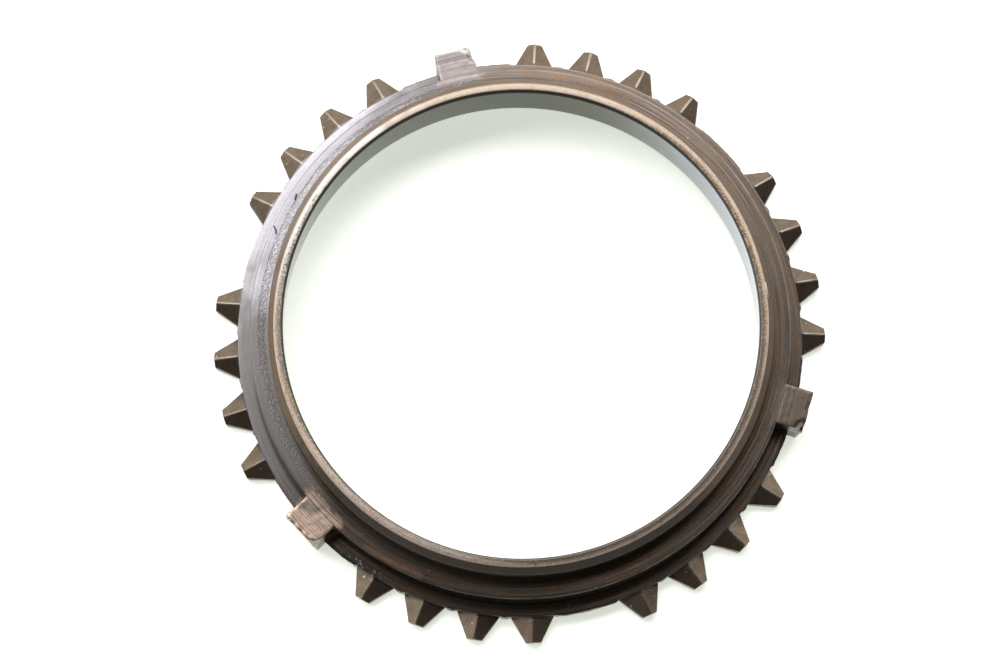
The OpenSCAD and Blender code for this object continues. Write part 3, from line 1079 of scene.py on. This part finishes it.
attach(sync_ring, "root")
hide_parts("synchronizer_ring")

# %% [markdown]
# ## Floor and backdrop
# The ring lies on white paper. More paper stands round the far and left sides, and the roofs of the teeth
# that face it are bright. A glow for camera, mirror and glass rays lifts the paper to white without lighting
# the ring any more.

# %% Floor and backdrop
FLOOR_R, BACKDROP_R, BACKDROP_Z = 1.6, 0.4, 0.32  # metres
BACKDROP_FROM, BACKDROP_TO = math.radians(-105), math.radians(92)  # clockwise from +Y
BACKDROP_STEPS = 48
PAPER_Z = -0.02 * MM  # a hair below the ring, so that the two never share a plane


def paper(name, glow_strength):
    """White paper, with a glow that only camera, mirror and glass rays see."""
    made = bpy.data.materials.new(name)
    made.use_nodes = True
    tree = made.node_tree
    tree.nodes.clear()
    paths = place(tree, "ShaderNodeLightPath").outputs
    seen = calc("MAXIMUM", paths["Is Camera Ray"], paths["Is Glossy Ray"])
    seen = calc("MAXIMUM", seen, paths["Is Transmission Ray"])
    matt = place(tree, "ShaderNodeBsdfDiffuse", {"Color": (0.9, 0.915, 0.87, 1)})
    strength = times(seen, glow_strength)
    glow = place(tree, "ShaderNodeEmission", {"Color": (0.95, 1, 0.9, 1), "Strength": strength})
    both = place(tree, "ShaderNodeAddShader", {0: matt.outputs["BSDF"], 1: glow.outputs["Emission"]})
    place(tree, "ShaderNodeOutputMaterial", {"Surface": both.outputs["Shader"]})
    return made


bm = bmesh.new()
bmesh.ops.create_circle(bm, cap_ends=True, radius=FLOOR_R, segments=96)
floor = mesh_object("floor_sheet", bm)
floor.data.transform(Matrix.Translation((0, 0, PAPER_Z)))
floor.data.materials.append(paper("floor_white", 0.63))

bm = bmesh.new()
posts = []
for step in range(BACKDROP_STEPS + 1):
    turn = BACKDROP_FROM + (BACKDROP_TO - BACKDROP_FROM) * step / BACKDROP_STEPS
    x, y = BACKDROP_R * math.sin(turn), BACKDROP_R * math.cos(turn)
    posts.append([bm.verts.new((x, y, z)) for z in (PAPER_Z, BACKDROP_Z)])
for (low, high), (next_low, next_high) in zip(posts, posts[1:]):
    bm.faces.new((low, next_low, next_high, high))
backdrop = mesh_object("backdrop_sheet", bm)
backdrop.data.materials.append(paper("backdrop_white", 0.7))
print("floor radius:", FLOOR_R, "m, backdrop height:", BACKDROP_Z, "m")

# %% [markdown]
# ## Light
# One large softbox hangs over the far side, so level faces there mirror it, and the near side mirrors a dim
# room. The Standard view shows colours about as they are written.

# %% Softbox and room
SOFTBOX_AT = Vector((-0.0294, 0.28, 0.53))

softbox_light = bpy.data.lights.new("softbox", "AREA")
softbox_light.shape = "RECTANGLE"
softbox_light.size, softbox_light.size_y = 0.9, 0.3
softbox_light.energy = 5.0
softbox = bpy.data.objects.new("softbox", softbox_light)
softbox.location = SOFTBOX_AT
softbox.rotation_mode = "QUATERNION"
softbox.rotation_quaternion = (-SOFTBOX_AT).to_track_quat("-Z", "Y")
softbox.visible_camera = False
scene.collection.objects.link(softbox)

room = bpy.data.worlds.new("room")
room.use_nodes = True
room.node_tree.nodes["Background"].inputs["Color"].default_value = (0.07, 0.07, 0.067, 1)
scene.world = room
scene.view_settings.view_transform = "Standard"
print("softbox distance:", round(SOFTBOX_AT.length, 3), "m")

# %% [markdown]
# ## Camera
# The photograph was taken from almost straight above, a little from the near side. The place, the aim and
# the lens were found by fitting a camera to the tooth tips and the turned edges.

# %% Camera
EYE, AIM = Vector((-16.35, -47.58, 238.58)) * MM, Vector((-3.0, -1.23, 10.8)) * MM
UP = Vector((0.231, 0.973, 0))

camera_data = bpy.data.cameras.new("camera")
camera_data.sensor_fit = "HORIZONTAL"
camera_data.sensor_width, camera_data.lens = 36, 68.33
camera_data.clip_start, camera_data.clip_end = 0.01, 20
camera = bpy.data.objects.new("camera", camera_data)
back = (EYE - AIM).normalized()
right = UP.cross(back).normalized()
camera.matrix_world = Matrix.Translation(EYE) @ Matrix((right, back.cross(right), back)).transposed().to_4x4()
scene.collection.objects.link(camera)
scene.camera = camera
print("camera height:", round(EYE.z, 3), "m")

# %% [markdown]
# ## The end
# The view layer is updated once more.

# %% Update the view layer
bpy.context.view_layer.update()
